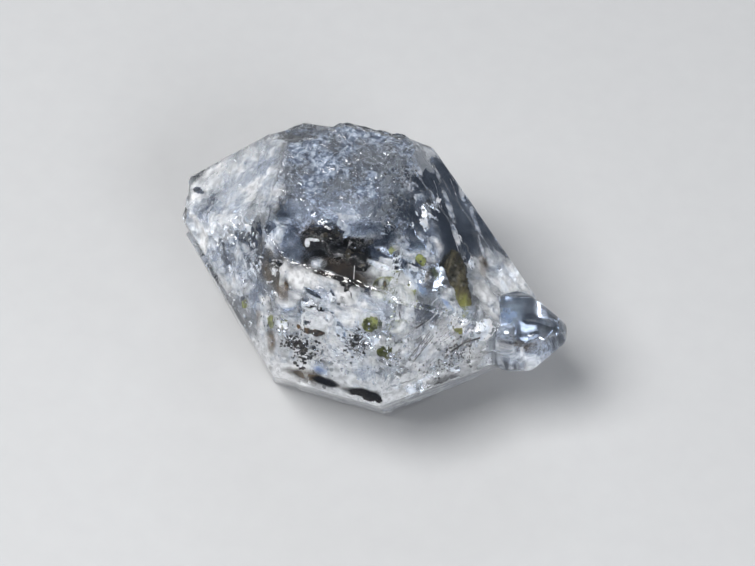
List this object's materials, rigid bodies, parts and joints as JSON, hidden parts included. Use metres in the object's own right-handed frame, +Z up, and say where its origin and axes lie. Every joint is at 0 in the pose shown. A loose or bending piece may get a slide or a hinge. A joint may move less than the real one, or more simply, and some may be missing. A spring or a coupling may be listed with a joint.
{
  "type": "quartz crystal with petroleum inclusions",
  "caption": "Stubby double-ended clear quartz crystal with a small crystal grown on one end, frosted and chipped in places, holding dark bitumen and olive oil inclusions",
  "frame": {"origin": "centre of the bounding box in plan, on the plane of the face the crystal rests on", "axes": "+X along the crystal's long axis toward the end with the small crystal, +Z up from the resting face, -Y toward the front faces"},
  "size_m": [0.0196, 0.0142, 0.0104],
  "materials": {
    "quartz": "clear, glossy faces with a frosted patch and chipped areas",
    "bitumen": "black solid bitumen, glossy",
    "dark_oil": "olive brown petroleum, glossy",
    "petroleum": "yellow green petroleum, glossy"
  },
  "bodies": {
    "root": {"crystal_upper": "quartz", "crystal_lower": "quartz", "bitumen_mass": "bitumen", "bitumen_sliver": "bitumen", "oil_body": "dark_oil", "oil_drop_centre": "petroleum", "oil_drop_low": "petroleum", "oil_drop_left": "petroleum", "oil_drop_far_left": "petroleum", "oil_drop_upper": "petroleum"}
  },
  "joints": []
}
